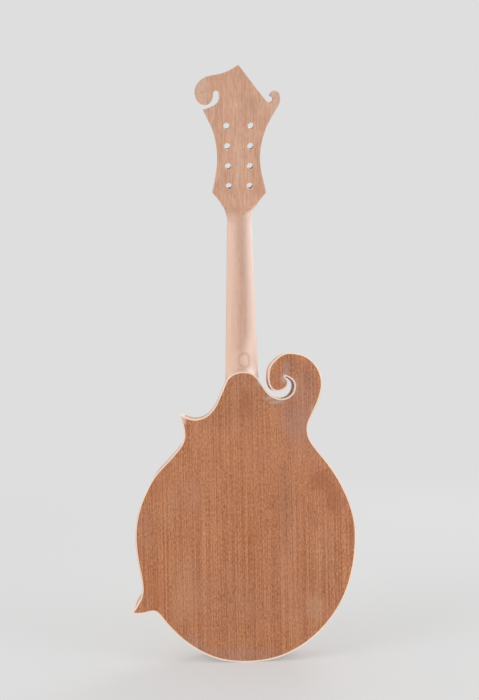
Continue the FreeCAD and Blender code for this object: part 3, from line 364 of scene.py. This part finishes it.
MATERIALS = {
    "back_wood": wood(MAHOGANY, MAHOGANY_DARK, PORE, PLATE, (0.42, 0.45, 0.13), patches=BACK_PATCHES,
                      pitch=0.0014, length=0.0034, stain=STAIN),
    "top_wood": wood(tone(230, 203, 164), tone(200, 164, 118), tone(176, 138, 96), PLATE, (0.7, 0.15, 0.15),
                     0.08, pitch=0.0012, length=0.02),
    "rib_wood": wood(tone(226, 178, 153), tone(188, 142, 118), PORE, RIM, pore_share=0.3, pitch=0.0016,
                     length=0.012, patches=SLOT_LIGHT),
    "neck_wood": neck_wood,
    "ear_wood": wood(tone(225, 187, 165), tone(197, 155, 131), tone(156, 112, 88), NECK, pore_share=0.3,
                     length=0.006, edge=EDGE_HIGHLIGHT, lean=NECK_LEAN),
    "binding": binding,
    "ebony": wood(tone(46, 38, 34), tone(26, 22, 20), tone(14, 12, 11), pore_share=0.5, rough=0.42,
                  lean=NECK_LEAN),
    "board_wood": wood(tone(92, 62, 46), tone(58, 38, 29), tone(30, 20, 16), pore_share=0.6, rough=0.45,
                       lean=NECK_LEAN),
    "block_wood": wood(tone(214, 178, 136), tone(188, 148, 106), tone(150, 110, 74), pore_share=0.3,
                       rough=0.7),
    "lining_wood": wood(tone(222, 192, 152), tone(200, 166, 122), tone(160, 124, 86), RIM, pore_share=0.2,
                        rough=0.7, length=0.02),
    "bone": hard_plastic(tone(240, 234, 216), tone(228, 219, 196), 0.3),
    "fret_metal": metal(tone(214, 212, 206), tone(190, 188, 182), 0.15, 0.0008),
    "pearl": pearl,
    "side_mark": hard_plastic(tone(34, 32, 31), tone(22, 21, 20), 0.4),
    "steel": metal(tone(176, 176, 178), tone(142, 142, 146), 0.3),
    "cover_laminate": hard_plastic(tone(36, 34, 33), tone(24, 23, 22), 0.35),
    "screw_metal": metal(tone(206, 176, 110), tone(176, 144, 84), 0.25),
}


def dress():
    """Gives each node the material of its slot."""
    made = {name: material(name, build) for name, build in MATERIALS.items()}
    for row in frame["record"]["subparts"]:
        piece = NODES[row["node"]]
        piece.data.materials.clear()
        piece.data.materials.append(made[row["material_slot"]])


# ---- Studio ----------------------------------------------------------------------------------------
BACKDROP = tone(222, 222, 222)
FLOOR_RADIUS = 14.0
FLOOR_STEPS = 96
FLOOR_NEAR = 0.35          # within this distance the floor is lit paper
FLOOR_FAR = 1.9            # beyond this one it has the backdrop's own even tone
PAPER_SHARE = 0.55
WORLD_LIGHT = 0.62
BODY_CENTRE = (0, -0.02, -0.25)


def seen_rays(tree):
    """1 for rays that show the backdrop itself, in the camera or in gloss and glass."""
    rays = add(tree, "ShaderNodeLightPath", {}).outputs
    seen = calc(tree, "MAXIMUM", rays["Is Camera Ray"], rays["Is Glossy Ray"])
    return calc(tree, "MAXIMUM", seen, rays["Is Transmission Ray"])


def paper(tree):
    """Pale paper that takes the object's shadow and fades into the even backdrop."""
    seen = seen_rays(tree)
    distance = add(tree, "ShaderNodeVectorMath", {0: place(tree, (1, 1, 0))}, operation="LENGTH")
    lit = spread(tree, distance.outputs["Value"], FLOOR_FAR, FLOOR_NEAR)
    lit = calc(tree, "MULTIPLY", lit, PAPER_SHARE)
    share = calc(tree, "ADD", calc(tree, "MULTIPLY", calc(tree, "SUBTRACT", lit, 1.0), seen), 1.0)
    colour = mix(tree, share, (0, 0, 0, 1), BACKDROP)
    glow = calc(tree, "MULTIPLY", calc(tree, "SUBTRACT", 1.0, lit), seen)
    return {"Base Color": colour, "Roughness": 1.0, "Specular IOR Level": 0.0,
            "Emission Color": BACKDROP, "Emission Strength": glow}


def floor(floor_z):
    mesh = bpy.data.meshes.new("floor")
    around = [2 * math.pi * step / FLOOR_STEPS for step in range(FLOOR_STEPS)]
    rim = [(FLOOR_RADIUS * math.cos(turn), FLOOR_RADIUS * math.sin(turn), floor_z) for turn in around]
    mesh.from_pydata(rim, [], [range(FLOOR_STEPS)])
    sheet = bpy.data.objects.new("floor", mesh)
    bpy.context.scene.collection.objects.link(sheet)
    mesh.materials.append(material("paper", paper))


def softbox(name, at, width, height, power):
    """A rectangular lamp that shines at the body's centre."""
    lamp = bpy.data.lights.new(name, "AREA")
    lamp.shape = "RECTANGLE"
    lamp.size = width
    lamp.size_y = height
    lamp.energy = power
    box = bpy.data.objects.new(name, lamp)
    box.location = at
    box.rotation_euler = (Vector(BODY_CENTRE) - Vector(at)).to_track_quat("-Z", "Y").to_euler()
    box.visible_camera = False
    bpy.context.scene.collection.objects.link(box)


def lights():
    softbox("key", (-1.9, -1.5, 1.1), 1.4, 1.4, 20)
    softbox("fill", (1.9, -1.3, 0.4), 1.2, 1.8, 16)
    softbox("edge_right", (1.6, -0.12, 0.5), 1.0, 1.6, 1.0)
    softbox("edge_left", (-1.6, -0.20, 0.5), 1.0, 1.6, 3.2)
    softbox("front", (0.9, 2.0, 0.9), 1.4, 1.4, 18)


def world():
    """Even light all round; what the camera sees beyond the floor is as pale as the backdrop."""
    sky = bpy.data.worlds.new("studio")
    sky.use_nodes = True
    tree = sky.node_tree
    seen = seen_rays(tree)
    background = tree.nodes["Background"]
    tree.links.new(mix(tree, seen, (1, 1, 1, 1), BACKDROP), background.inputs["Color"])
    tree.links.new(calc(tree, "ADD", calc(tree, "MULTIPLY", seen, 1 - WORLD_LIGHT), WORLD_LIGHT),
                   background.inputs["Strength"])
    bpy.context.scene.world = sky


# ---- Camera ----------------------------------------------------------------------------------------
CAMERA_AT = (-0.03184, -1.063, -0.186)
CAMERA_YAW = 1.5733        # degrees to the right of straight ahead
CAMERA_PITCH = 1.4124      # degrees up
CAMERA_ROLL = -1.08
CAMERA_LENS = 45.87


def camera():
    """Looks at the back from the treble side of the middle, a little turned, raised and rolled."""
    yaw, pitch, roll = (math.radians(angle) for angle in (CAMERA_YAW, CAMERA_PITCH, CAMERA_ROLL))
    ahead = Vector((math.sin(yaw) * math.cos(pitch), math.cos(yaw) * math.cos(pitch), math.sin(pitch)))
    right = ahead.cross(Vector((0, 0, 1))).normalized()
    up = right.cross(ahead)
    tilted_right = right * math.cos(roll) + up * math.sin(roll)
    tilted_up = up * math.cos(roll) - right * math.sin(roll)
    lens = bpy.data.cameras.new("camera")
    lens.lens = CAMERA_LENS
    lens.sensor_width = 36.0
    lens.clip_start = 0.05
    lens.clip_end = 30.0
    eye = bpy.data.objects.new("camera", lens)
    turn = Matrix((tilted_right, tilted_up, -ahead)).transposed().to_4x4()
    eye.matrix_world = Matrix.Translation(CAMERA_AT) @ turn
    bpy.context.scene.collection.objects.link(eye)
    bpy.context.scene.camera = eye


dress()
floor(cad_box[0].z)
lights()
world()
camera()
bpy.context.scene.view_settings.view_transform = "Standard"
